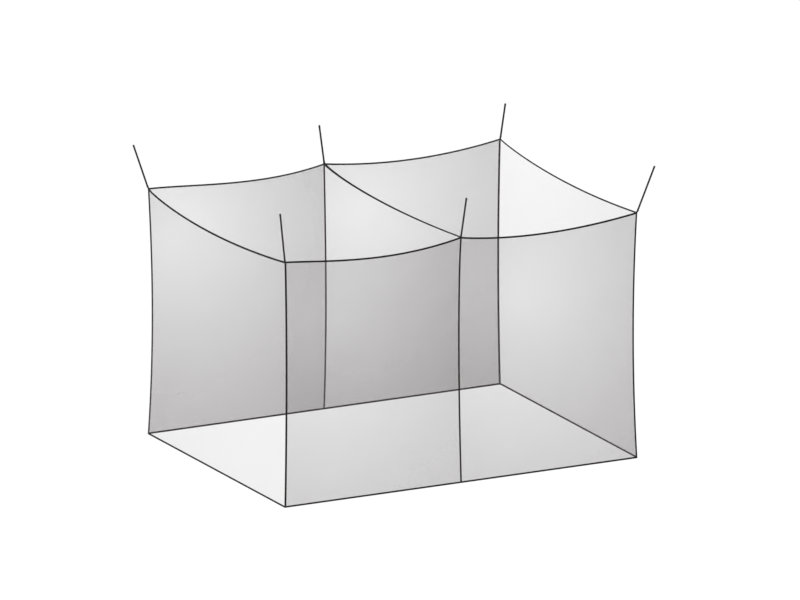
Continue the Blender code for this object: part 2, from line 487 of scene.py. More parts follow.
# Per panel: the cover at its lightest place, the painted shade added for each metre away from it,
# that place along and down, the gain and the turn. The panels' levels and their darkening away
# from the lightest place are painted shade, not a real change in the netting.
KNIT_AND_SHADE: dict[str, KnitAndShade] = {
    "wall_front_left": KnitAndShade(0.135, 0.305, 0.26, 0.36, 1.10, 0.0),
    "wall_front_right": KnitAndShade(0.122, 0.320, 0.40, 0.37, 1.10, 0.0),
    "wall_back_left": KnitAndShade(0.112, 0.406, 0.13, 0.31, 1.10, 90.0),
    "wall_back_right": KnitAndShade(0.155, 0.342, 0.24, 0.28, 1.10, 90.0),
    "wall_end_left": KnitAndShade(0.075, 0.051, 1.30, 0.00, 1.16, 90.0),
    "wall_end_right": KnitAndShade(0.038, 0.085, 0.30, -0.42, 1.16, 75.0),
    "roof_left": KnitAndShade(0.014, 0.005, 0.60, 0.80, 1.20, 0.0),
    "roof_right": KnitAndShade(0.014, 0.005, 0.60, 0.80, 1.20, 0.0),
}


@dataclass(frozen=True)
class NettingFinish:
    """Fine knitted netting, with hexagonal holes between its threads, whose cover also carries
    painted shade.

    Each grain is how many streaks, clouds or fibres lie in a metre.
    """

    panel: str
    pitch: float = 0.0020
    thread_share: float = 0.33
    relief: float = 0.24
    soft_middle: float = 0.01
    streaks: float = 0.06
    streak_grain: tuple[float, float] = (140.0, 2.5)
    streak_detail: float = 3.0
    clouds: float = 0.08
    cloud_grain: float = 5.0
    fibre_grain: float = 60.0
    thread_dark: Colour = (0.172, 0.146, 0.153)
    thread_light: Colour = (0.200, 0.170, 0.178)
    roughness: float = 0.85
    specular: float = 0.2
    sheen: float = 0.08

    def hexagon(self, along: Signal, down: Signal, turn: float) -> Signal:
        """How near each place is to a thread of the net.

        Args:
            along: Metres along the panel.
            down: Metres down the panel.
            turn: Degrees by which the mesh is turned.

        Returns:
            0 in the middle of a hole, and 0.5 in the middle of a thread.
        """
        tall = math.sqrt(3)
        level, plumb = math.cos(math.radians(turn)), math.sin(math.radians(turn))
        x = along * (level / self.pitch) + down * (plumb / self.pitch)
        y = down * (level / self.pitch) - along * (plumb / self.pitch)
        near_x, near_y = x % 1.0 - 0.5, y % tall - tall / 2
        far_x, far_y = (x + 0.5) % 1.0 - 0.5, (y + tall / 2) % tall - tall / 2
        second = (near_x * near_x + near_y * near_y) > (far_x * far_x + far_y * far_y)
        from_x = abs(near_x) + (abs(far_x) - abs(near_x)) * second
        from_y = abs(near_y) + (abs(far_y) - abs(near_y)) * second
        return from_x.math("MAXIMUM", from_x * 0.5 + from_y * (tall / 2))

    def material(self) -> bpy.types.Material:
        """Makes the material.

        Returns:
            The new material.
        """
        knit_and_shade = KNIT_AND_SHADE[self.panel]
        nodes = NodeBook(f"netting_{self.panel}", self.roughness, self.specular)
        along, down = nodes.cloth_place()
        # Painted shade: the cover grows away from the panel's lightest place, so the panel darkens
        # there; the streaks and clouds are random unevenness of the knit.
        off_along, off_down = along - knit_and_shade.lightest_along, down - knit_and_shade.lightest_down
        far = (off_along * off_along + off_down * off_down + self.soft_middle).math("SQRT")
        across_streaks, along_streaks = self.streak_grain
        streak = nodes.noise(along * across_streaks, down * along_streaks, self.streak_detail)
        cloud = nodes.noise(along * self.cloud_grain, down * self.cloud_grain)
        uneven = (streak - 0.5) * self.streaks + (cloud - 0.5) * self.clouds
        density_and_shade = (far * knit_and_shade.shade_per_metre + knit_and_shade.cover_at_lightest) * (uneven + 1.0)
        cover_and_shade = (1.0 - (density_and_shade * -1.0).math("EXPONENT")) * knit_and_shade.gain
        near = self.hexagon(along, down, knit_and_shade.turn)
        thread = near > 0.5 * math.sqrt(1 - self.thread_share)
        nodes.feed(
            "Alpha", cover_and_shade * (thread * (self.relief / self.thread_share) + (1.0 - self.relief))
        )
        fibre = nodes.noise(along * self.fibre_grain, down * self.fibre_grain)
        nodes.colour(fibre, self.thread_dark, self.thread_light)
        nodes.shader.inputs["Sheen Weight"].default_value = self.sheen
        return nodes.material


@dataclass(frozen=True)
class TapeFinish:
    """Black woven polyester tape, with its ribs across, painted shade in the hollows of its weave,
    and its wear in streaks along it.

    The wear's grain is how many streaks lie in a metre along the tape, and in one across.
    """

    rib: float = 0.00075
    thread: float = 0.00055
    weave: float = 0.25
    weave_shade_share: float = 0.6
    wear_share: float = 0.4
    wear_grain: tuple[float, float] = (40.0, 900.0)
    dark: Colour = (0.0105, 0.0098, 0.0102)
    light: Colour = (0.021, 0.0195, 0.0203)
    roughness: float = 0.72
    smoothest: float = 0.64
    rougher: float = 0.16
    specular: float = 0.22
    bump: float = 0.00012

    def material(self) -> bpy.types.Material:
        """Makes the material.

        Returns:
            The new material.
        """
        nodes = NodeBook("binding_tape", self.roughness, self.specular)
        along, across = nodes.cloth_place()
        ribs = (along * (FULL_TURN / self.rib)).math("SINE")
        turned = (along / self.rib).math("FLOOR") * math.pi
        threads = (across * (FULL_TURN / self.thread) + turned).math("SINE")
        weave = ribs * self.weave + threads * self.weave + 0.5
        wear = nodes.noise(along * self.wear_grain[0], across * self.wear_grain[1])
        # Painted shade: the colour is darker in the weave's hollows and lighter on its ribs, mixed
        # with real wear.
        nodes.colour(weave * self.weave_shade_share + wear * self.wear_share, self.dark, self.light)
        nodes.feed("Roughness", wear * self.rougher + self.smoothest)
        nodes.bump(weave, self.bump)
        return nodes.material


@dataclass(frozen=True)
class SewingFinish:
    """Twisted black sewing thread, a little shinier than the tape, with painted shade between its
    plies.
    """

    dark: Colour = (0.014, 0.013, 0.0135)
    light: Colour = (0.030, 0.028, 0.029)
    twist: float = 0.0006
    lean: float = 6.0
    roughness: float = 0.5
    smoothest: float = 0.42
    rougher: float = 0.15
    specular: float = 0.35

    def material(self) -> bpy.types.Material:
        """Makes the material.

        Returns:
            The new material.
        """
        nodes = NodeBook("sewing_thread", self.roughness, self.specular)
        along, across = nodes.cloth_place()
        turned = along * (FULL_TURN / self.twist) + across * self.lean
        strand = turned.math("SINE") * 0.5 + 0.5
        # Painted shade: the colour is darker between the plies of the twist and lighter on them.
        nodes.colour(strand, self.dark, self.light)
        nodes.feed("Roughness", strand * self.rougher + self.smoothest)
        return nodes.material


@dataclass(frozen=True)
class BraidFinish:
    """Black braided cord, with painted shade in the grooves between its strands. The map is in
    turns round the cord, and metres along it.
    """

    carriers: int
    diamond: float
    fibre_grain: float = 5.0
    crown_share: float = 0.8
    fibre_share: float = 0.2
    dark: Colour = (0.0085, 0.008, 0.0083)
    light: Colour = (0.027, 0.0252, 0.026)
    roughness: float = 0.6
    smoothest: float = 0.52
    rougher: float = 0.2
    specular: float = 0.3
    bump: float = 0.0002

    def material(self) -> bpy.types.Material:
        """Makes the material.

        Returns:
            The new material.
        """
        nodes = NodeBook("braided_cord", self.roughness, self.specular)
        turns, along = nodes.cloth_place()
        right = turns * float(self.carriers) + along / self.diamond
        left = turns * float(self.carriers) - along / self.diamond
        over = ((right.math("FLOOR") + left.math("FLOOR")) % 2.0) > 0.5
        crown_right = (right * math.pi).math("SINE")
        crown_left = (left * math.pi).math("SINE")
        crown = abs(crown_right + (crown_left - crown_right) * over)
        fibre = nodes.noise(right * self.fibre_grain, left * self.fibre_grain)
        height = (crown * self.crown_share + fibre * self.fibre_share).math("MINIMUM", 1.0)
        # Painted shade: the colour follows the height, darker in the grooves between strands and
        # lighter on their crowns, with random fibre tone.
        nodes.colour(height, self.dark, self.light)
        nodes.feed("Roughness", fibre * self.rougher + self.smoothest)
        nodes.bump(height, self.bump)
        return nodes.material


# ---------------------------------------------------------------- meshes


def placed_grid(
    columns: int,
    rows: int,
    place: Callable[[int, int], Vector],
    map_place: Callable[[int, int], tuple[float, float]],
    outwards: Vector | None = None,
) -> bmesh.types.BMesh:
    """A grid with each point put in its place and a cloth map.

    Args:
        columns: How many points it has along.
        rows: How many points it has across.
        place: Gives the place of a column and row.
        map_place: Gives the cloth map there.
        outwards: The way that the faces are turned, or None for a closed shape.

    Returns:
        The grid, with points that fall together merged.
    """
    grid = bmesh.new()
    bmesh.ops.create_grid(grid, x_segments=columns - 1, y_segments=rows - 1, size=0.5)
    cloth = grid.loops.layers.uv.new(CLOTH_MAP)
    spots: dict[bmesh.types.BMVert, tuple[int, int]] = {}
    for vertex in grid.verts:
        column = round((vertex.co.x + 0.5) * (columns - 1))
        row = round((vertex.co.y + 0.5) * (rows - 1))
        spots[vertex] = (column, row)
    for face in grid.faces:
        for loop in face.loops:
            loop[cloth].uv = map_place(*spots[loop.vert])
    for vertex, spot in spots.items():
        vertex.co = place(*spot)
    bmesh.ops.remove_doubles(grid, verts=grid.verts, dist=MERGE_DISTANCE)
    grid.normal_update()
    if outwards is None:
        bmesh.ops.recalc_face_normals(grid, faces=grid.faces)
    elif sum((face.normal * face.calc_area() for face in grid.faces), Vector()).dot(outwards) < 0:
        bmesh.ops.reverse_faces(grid, faces=grid.faces)
    return grid


def lengths_along(line: Sequence[Vector]) -> list[float]:
    """The length from a line's start to each of its points."""
    steps = [(after - before).length for before, after in zip(line, line[1:])]
    return [0.0, *accumulate(steps)]


def tube(
    path: Sequence[Vector], radius: Callable[[float, float], float], sides: int
) -> bmesh.types.BMesh:
    """A closed tube along a path.

    Args:
        path: The points of its middle line.
        radius: Gives its radius at a share of a turn and a length along it.
        sides: How many sides it has.

    Returns:
        The tube, with its map in turns and metres.
    """
    ways = [
        (path[min(k + 1, len(path) - 1)] - path[max(k - 1, 0)]).normalized()
        for k in range(len(path))
    ]
    side = ways[0].orthogonal().normalized()
    frames: list[tuple[Vector, Vector]] = []
    for before, way in zip([ways[0], *ways], ways):
        side = before.rotation_difference(way) @ side
        side = (side - way * side.dot(way)).normalized()
        frames.append((side.copy(), way.cross(side)))
    lengths = lengths_along(path)

    def place(column: int, row: int) -> Vector:
        """The place on the tube's skin.

        Args:
            column: The number of the side.
            row: The number of the ring.

        Returns:
            The place.
        """
        turn = column % sides / sides
        first, second = frames[row]
        reach = first * math.cos(turn * FULL_TURN) + second * math.sin(turn * FULL_TURN)
        return path[row] + reach * radius(turn, lengths[row])

    made = placed_grid(
        sides + 1, len(path), place, lambda column, row: (column / sides, lengths[row])
    )
    rim = [edge for edge in made.edges if edge.is_boundary]
    bmesh.ops.holes_fill(made, edges=rim, sides=0)
    bmesh.ops.recalc_face_normals(made, faces=made.faces)
    return made


def mesh_of(name: str, shape: bmesh.types.BMesh) -> bpy.types.Mesh:
    """Makes a mesh of a shape.

    Args:
        name: The mesh's name.
        shape: The shape, which is used up.

    Returns:
        The mesh.
    """
    mesh = bpy.data.meshes.new(name)
    shape.to_mesh(mesh)
    shape.free()
    return mesh


def add_mesh(shape: bmesh.types.BMesh, mesh: bpy.types.Mesh) -> None:
    """Adds a mesh to a shape and removes it."""
    shape.from_mesh(mesh)
    bpy.data.meshes.remove(mesh)


def placed(name: str, data: bpy.types.ID) -> bpy.types.Object:
    """Puts an object into the scene.

    Args:
        name: The object's name.
        data: Its mesh, camera or light.

    Returns:
        The object.
    """
    made = bpy.data.objects.new(name, data)
    bpy.context.scene.collection.objects.link(made)
    return made


def finished(
    name: str,
    shape: bmesh.types.BMesh,
    materials: Sequence[bpy.types.Material],
    node: str | None = None,
) -> bpy.types.Object:
    """Makes a piece of a finished shape and lets it ride on the net.

    Args:
        name: The piece's name.
        shape: Its shape, which is used up.
        materials: Its materials.
        node: The CAD node that it replaces, if any.

    Returns:
        The piece.
    """
    mesh = mesh_of(name, shape)
    mesh.shade_smooth()
    for material in materials:
        mesh.materials.append(material)
    piece = placed(name, mesh)
    piece.visible_shadow = False
    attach(piece, "root")
    if node:
        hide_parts(node)
    log.info("%s: %d faces", name, len(mesh.polygons))
    return piece


@dataclass(frozen=True)
class Stitching:
    """Rows of machine stitches, each a small grain of thread lying along the tape."""

    step: float = 0.0036
    long: float = 0.0029
    thick: float = 0.00045
    sink: float = 0.00005

    def row(self, line: Sequence[Vector], faces: Sequence[Vector]) -> list[Matrix]:
        """Places the stitches of one row.

        Args:
            line: The points of the row, on the tape's face.
            faces: The way that the tape faces at each point.

        Returns:
            The place of each stitch.
        """
        places: list[Matrix] = []
        carry = self.step / 2
        for here, there, out in zip(line, line[1:], faces):
            way = (there - here).normalized()
            side = way.cross(out).normalized()
            turned = Matrix((way, side, way.cross(side))).transposed().to_4x4()
            while carry < (there - here).length:
                spot = here + way * carry - out * self.sink
                places.append(Matrix.Translation(spot) @ turned)
                carry += self.step
            carry -= (there - here).length
        return places

    def sewn(self, places: Sequence[Matrix], slot: int) -> bpy.types.Mesh:
        """Joins the stitches.

        Args:
            places: The place of each stitch.
            slot: The material slot of the thread.

        Returns:
            One mesh of them all.
        """
        grain = bmesh.new()
        size = Matrix.Diagonal((self.long / 2, self.thick / 2, self.thick / 2, 1))
        bmesh.ops.create_icosphere(grain, subdivisions=1, radius=1.0, matrix=size)
        points = np.array([vertex.co for vertex in grain.verts])
        faces = np.array([[vertex.index for vertex in face.verts] for face in grain.faces])
        grain.free()
        turned = np.array([[tuple(row) for row in place] for place in places])
        spots = np.einsum("nij,vj->nvi", turned[:, :3, :3], points) + turned[:, None, :3, 3]
        steps = len(points) * np.arange(len(places))
        indices = (faces[None] + steps[:, None, None]).ravel()
        mesh = bpy.data.meshes.new("stitches")
        mesh.vertices.add(len(points) * len(places))
        mesh.loops.add(len(indices))
        mesh.polygons.add(len(faces) * len(places))
        mesh.vertices.foreach_set("co", spots.ravel())
        mesh.loops.foreach_set("vertex_index", indices)
        mesh.polygons.foreach_set("loop_start", np.arange(0, len(indices), faces.shape[1]))
        mesh.polygons.foreach_set("material_index", np.full(len(mesh.polygons), slot))
        cloth = mesh.uv_layers.new(name=CLOTH_MAP)
        cloth.data.foreach_set("uv", np.tile(points[faces.ravel(), :2], (len(places), 1)).ravel())
        mesh.update()
        return mesh


# ---------------------------------------------------------------- netting panels


class Held(Enum):
    """How a sheet is held."""

    HUNG = "hung"
    STRETCHED = "stretched"


@dataclass(frozen=True)
class Slack:
    """Three soft waves in the slack cloth, which fade out towards its tapes.

    Each wave has its radians for each metre, its height against the first one's, and its own
    share of the panel's seed. Both upright waves lean a little.
    """

    height: float = 0.0016
    fade_from: float = 0.012
    fade_to: float = 0.150
    lean: float = 0.18
    broad: float = 19.0
    fine: float = 33.0
    fine_height: float = 0.6
    fine_lean: float = 1.4
    fine_seed: float = 2.3
    level_down: float = 7.0
    level_along: float = 5.0
    level_height: float = 0.4
    level_seed: float = 1.7

    def out(self, along: float, down: float, size: tuple[float, float], seed: float) -> float:
        """How far the cloth stands off its smooth shape.

        Args:
            along: Metres along the panel.
            down: Metres down it.
            size: The panel's size.
            seed: A number that sets one panel apart from the next.

        Returns:
            Metres, outwards.
        """
        edge = min(along, size[0] - along, down, size[1] - down)
        fade = rise(edge, self.fade_from, self.fade_to)
        lean = self.lean * down * math.sin(seed)
        fine = (along - self.fine_lean * lean) * self.fine + self.fine_seed * seed
        level = down * self.level_down + self.level_seed * seed + along * self.level_along
        waves = (
            math.sin((along + lean) * self.broad + seed)
            + self.fine_height * math.sin(fine)
            + self.level_height * math.sin(level)
        )
        return self.height * fade * waves


@dataclass
class NettingPanels:
    """The eight sheets of netting."""

    form: NetForm
    slack: Slack = Slack()
    wall_seeds: tuple[float, ...] = (1.6, 3.7, 0.7, 2.9, 4.1, 5.3)
    roof_seeds: tuple[float, ...] = (2.2, 4.8)
    cell: float = 0.020
    edge_band: float = 0.0075
    sheet_trim: float = 0.0011
    middle_trim: float = 0.0003
    foot_trim: float = 0.0016

    def stations(self, length: float, near: float, far: float) -> list[float]:
        """Places along a sheet.

        Args:
            length: The sheet's length.
            near: What is trimmed off its start.
            far: What is trimmed off its end.

        Returns:
            The places in metres, close together at the tapes and then even.
        """
        inner = length - 2 * self.edge_band
        cells = round(inner / self.cell)
        even = [self.edge_band + inner * k / cells for k in range(cells + 1)]
        return [near, *even, length - far]

    def sheet(
        self,
        node: str,
        size: tuple[float, float],
        trims: Sequence[float],
        smooth: Callable[[float, float], Vector],
        out: Vector,
        held: Held,
        seed: float,
    ) -> None:
        """Builds a sheet that replaces a CAD panel.

        Args:
            node: The CAD panel's name.
            size: The sheet's flat size, along and down.
            trims: What is trimmed off its two ends along, and then off its top and foot.
            smooth: Gives its smooth shape, by shares along and down.
            out: The way that it faces.
            held: How it is held; not used.
            seed: A number for its slack.
        """
        alongs, downs = self.stations(size[0], *trims[:2]), self.stations(size[1], *trims[2:])

        def place(column: int, row: int) -> Vector:
            """The place of a point of the sheet.

            Args:
                column: Its number along.
                row: Its number down.

            Returns:
                The place.
            """
            along, down = alongs[column], downs[row]
            spot = smooth(along / size[0], down / size[1])
            return spot + out * self.slack.out(along, down, size, seed)

        shape = placed_grid(
            len(alongs), len(downs), place, lambda c, r: (alongs[c], downs[r]), out
        )
        piece = finished(f"net_{node}", shape, [NettingFinish(node).material()], node)

    def build(self) -> None:
        """Builds the panels."""
        form, trim, middle = self.form, self.sheet_trim, self.middle_trim
        for span, seed in zip(WALLS, self.wall_seeds):
            sides = [trim if point.side_x else middle for point in span.ends]
            self.sheet(
                f"wall_{span.name}",
                (form.span_length(span), form.height),
                [*sides, trim, self.foot_trim],
                partial(form.wall_point, span),
                span.facing.way,
                Held.HUNG,
                seed,
            )
        for plan, seed in zip(ROOFS, self.roof_seeds):
            sides = [
                middle if side == "roof_middle" else trim for side in (plan.left, plan.right)
            ]
            self.sheet(
                plan.name,
                (form.length / 2, form.width),
                [*sides, trim, trim],
                partial(form.roof_point, plan),
                UP,
                Held.STRETCHED,
                seed,
            )


# ---------------------------------------------------------------- tapes


@dataclass(frozen=True)
class TapeSection:
    """A cut across a folded tape: its two rims, its fold, and the way that each half faces."""

    rim: Vector
    fold: Vector
    other_rim: Vector
    faces: Vector
    other_faces: Vector

    @property
    def halves(self) -> tuple[tuple[Vector, Vector], tuple[Vector, Vector]]:
        """The rim of each half and the way that it faces."""
        return (self.rim, self.faces), (self.other_rim, self.other_faces)


@dataclass
class Tapes:
    """The bindings and seam tapes, each with its rows of stitches.

    The tapes at the corners and the top edge are folded unevenly. The wide half is on the long
    walls and down from the top edge, and the narrow one on the end walls and the roof.
    """

    form: NetForm
    thread: bpy.types.Material
    wide_leg: float = 0.0090
    narrow_leg: float = 0.0030
    middle_leg: float = 0.0055
    roof_leg: float = 0.0090
    hem_leg: float = 0.0095
    clearance: float = 0.0011
    thick: float = 0.0008
    gap: float = 0.0006
    cell: float = 0.040
    columns: int = 4
    soft_fold: float = 0.12
    round_edge: float = 0.00025
    hard_angle: float = 60.0
    seam_inset: float = 0.0016
    stitching: Stitching = Stitching()
    tape: bpy.types.Material = field(default_factory=lambda: TapeFinish().material())

    def shares(self, length: float, near: float, far: float) -> list[float]:
        """Even places along a tape, as shares of a length.

        Args:
            length: The length that the shares are of.
            near: Where the tape starts.
            far: How far before the length's end it stops.

        Returns:
            The shares.
        """
        cells = max(2, round((length - near - far) / self.cell))
        step = (length - near - far) / cells
        return [(near + step * k) / length for k in range(cells + 1)]

    def across(self, section: TapeSection) -> list[Vector]:
        """The points across a tape, with a soft fold.

        Args:
            section: The cut across it.

        Returns:
            The points from rim to rim.
        """
        near = section.fold.lerp(section.rim, self.soft_fold)
        far = section.fold.lerp(section.other_rim, self.soft_fold)
        crown = near.lerp(far, 0.5).lerp(section.fold, 0.5)
        shares = [k / self.columns for k in range(self.columns + 1)]
        first = [section.rim.lerp(near, share) for share in shares]
        last = [far.lerp(section.other_rim, share) for share in shares]
        return [*first, crown, *last]

    def lay(self, name: str, sections: Sequence[TapeSection], outwards: Vector) -> None:
        """Builds a tape through its sections and sews it down along both rims.

        Args:
            name: The CAD tape's name.
            sections: The cuts across it, from end to end.
            outwards: The way that the tape faces.
        """
        rows = [self.across(section) for section in sections]
        lengths = lengths_along([section.fold for section in sections])
        spread = lengths_along(rows[0])
        shape = placed_grid(
            len(rows),
            len(spread),
            lambda column, row: rows[column][row],
            lambda column, row: (lengths[column], spread[row]),
            outwards,
        )
        bmesh.ops.solidify(shape, geom=shape.faces[:], thickness=-self.thick)
        places: list[Matrix] = []
        for half in (0, 1):
            rims = [section.halves[half] for section in sections]
            line = [
                section.fold.lerp(rim, 1 - self.seam_inset / (section.fold - rim).length)
                + way * self.thick
                for section, (rim, way) in zip(sections, rims)
            ]
            places += self.stitching.row(line, [way for _, way in rims])
        self.finish(name, shape, places)

    def finish(self, name: str, shape: bmesh.types.BMesh, places: Sequence[Matrix]) -> None:
        """Rounds a tape's hard rims, adds its stitches, and replaces the CAD tape with it.

        Args:
            name: The CAD tape's name.
            shape: The tape's shape, which is used up.
            places: The places of its stitches.
        """
        hard = math.radians(self.hard_angle)
        rims = [edge for edge in shape.edges if edge.calc_face_angle(0.0) > hard]
        bmesh.ops.bevel(
            shape,
            geom=rims,
            offset=self.round_edge,
            affect="EDGES",
            segments=2,
            profile=0.5,
            material=-1,
        )
        bmesh.ops.recalc_face_normals(shape, faces=shape.faces)
        add_mesh(shape, self.stitching.sewn(places, 1))
        finished(f"sewn_{name}", shape, [self.tape, self.thread], name)

    def roof_beside(self, span_name: str, share: float) -> Vector:
        """The place on the roof where the top binding ends, in from a top edge.

        Args:
            span_name: The top edge.
            share: The share of the way along it.

        Returns:
            The place.
        """
        roof = next(r for r in ROOFS if span_name in (r.left, r.right, r.back, r.front))
        side = self.narrow_leg / (self.form.length / 2)
        depth = self.narrow_leg / self.form.width
        if span_name in (roof.left, roof.right):
            along = side if span_name == roof.left else 1 - side
            return self.form.roof_point(roof, along, min(max(share, depth), 1 - depth))
        low = side if roof.left != "roof_middle" else 0
        high = 1 - side if roof.right != "roof_middle" else 1
        forwards = depth if span_name == roof.back else 1 - depth
        return self.form.roof_point(roof, min(max(share, low), high), forwards)

    def top_section(self, span: Span, share: float) -> TapeSection:
        """The cut across the top binding.

        Args:
            span: The top edge that it is on.
            share: The share of the way along it.

        Returns:
            The cut, from the roof to the wall.
        """
        form, faces = self.form, span.facing.way
        if share in (0, 1):
            faces = span.ends[round(share)].outwards
        return TapeSection(
            self.roof_beside(span.name, share) + UP * self.clearance,
            form.span_point(span, share) + (UP + faces) * self.clearance,
            form.wall_point(span, share, self.wide_leg / form.height) + faces * self.clearance,
            UP,
            span.facing.way,
        )

    def top_binding(self) -> None:
        """Builds the tape folded over the roof's and walls' top edges, all the way round."""
        sections: list[TapeSection] = []
        for span_name, backwards in TOP_EDGE:
            span = SPANS[span_name]
            length = self.form.span_length(span)
            shares = [0.0, *self.shares(length, self.narrow_leg, self.narrow_leg), 1.0]
            shares = shares[:0:-1] if backwards else shares[:-1]
            sections += [self.top_section(span, share) for share in shares]
        self.lay("top_binding", [*sections, sections[0]], UP)

    def seam_tape(self, point: LiftPoint) -> None:
        """Builds the tape down an upright seam.

        Args:
            point: The lifting corner above the seam.
        """
        form, clearance = self.form, self.clearance
        first, last = [span for span in WALLS if point in span.ends]

        def beside(span: Span, down: float) -> Vector:
            """The tape's rim on one wall.

            Args:
                span: The span above the wall.
                down: The share of the way down.

            Returns:
                The rim's place.
            """
            folded = self.narrow_leg if span.name.startswith("end") else self.wide_leg
            leg = (folded if point.side_x else self.middle_leg) / form.span_length(span)
            along = leg if span.start == point.name else 1 - leg
            return form.wall_point(span, along, down) + span.facing.way * clearance

        sections = [
            TapeSection(
                beside(first, down),
                form.upright_point(point, down) + point.outwards * clearance,
                beside(last, down),
                first.facing.way,
                last.facing.way,
            )
            for down in self.shares(form.height, self.wide_leg + self.gap, self.hem_leg + self.gap)
        ]
        self.lay(f"seam_tape_{point.name}", sections, point.outwards)

    def roof_seam(self) -> None:
        """Builds the tape across the roof."""
        form, clear = self.form, UP * self.clearance
        left, right = ROOFS
        leg = self.roof_leg / (form.length / 2)
        start = self.narrow_leg + self.gap
        sections = [
            TapeSection(
                form.roof_point(left, 1 - leg, share) + clear,
                form.span_point(SPANS["roof_middle"], share) + clear,
                form.roof_point(right, leg, share) + clear,
                UP,
                UP,
            )
            for share in self.shares(form.width, start, start)
        ]
        self.lay("roof_seam_tape", sections, UP)

    def hem_binding(self) -> None:
        """Builds the channel of folded tape along the bottom edge, mitred at the corners."""
        form, corners = self.form, PLAN_CORNERS
        slot, face = self.clearance, self.clearance + self.thick
        outer_half = (  # out from the wall's middle, and up from the bottom
            (face, 0.0),
            (face, self.hem_leg / 2),
            (face, self.hem_leg),
            (slot, self.hem_leg),
            (slot, self.thick),
        )
        channel = (*outer_half, *((-out, up) for out, up in reversed(outer_half)))
        reach = lengths_along([Vector(spot) for spot in (*channel, channel[0])])
        runs = lengths_along([form.plan(*sides, 0) for sides in (*corners, corners[0])])

        def place(column: int, row: int) -> Vector:
            """The place of a point of the channel."""
            out, up = channel[row % len(channel)]
            return form.plan(*corners[column % len(corners)], form.hem_z + up, out)

        shape = placed_grid(
            len(corners) + 1, len(channel) + 1, place, lambda c, r: (runs[c], reach[r])
        )
        height = form.hem_z + self.hem_leg - self.seam_inset
        places: list[Matrix] = []
        for here, there in zip(corners, [*corners[1:], corners[0]]):
            out = Vector((here[0] + there[0], here[1] + there[1], 0)) / 2
            for way in (out, -out):
                line = [form.plan(*sides, height) + way * face for sides in (here, there)]
                places += self.stitching.row(line, [way, way])
        self.finish("hem_binding", shape, places)

    def build(self) -> None:
        """Builds the tapes."""
        self.top_binding()
        self.hem_binding()
        self.roof_seam()
        for point in LIFT_POINTS.values():
            self.seam_tape(point)


# ---------------------------------------------------------------- cords


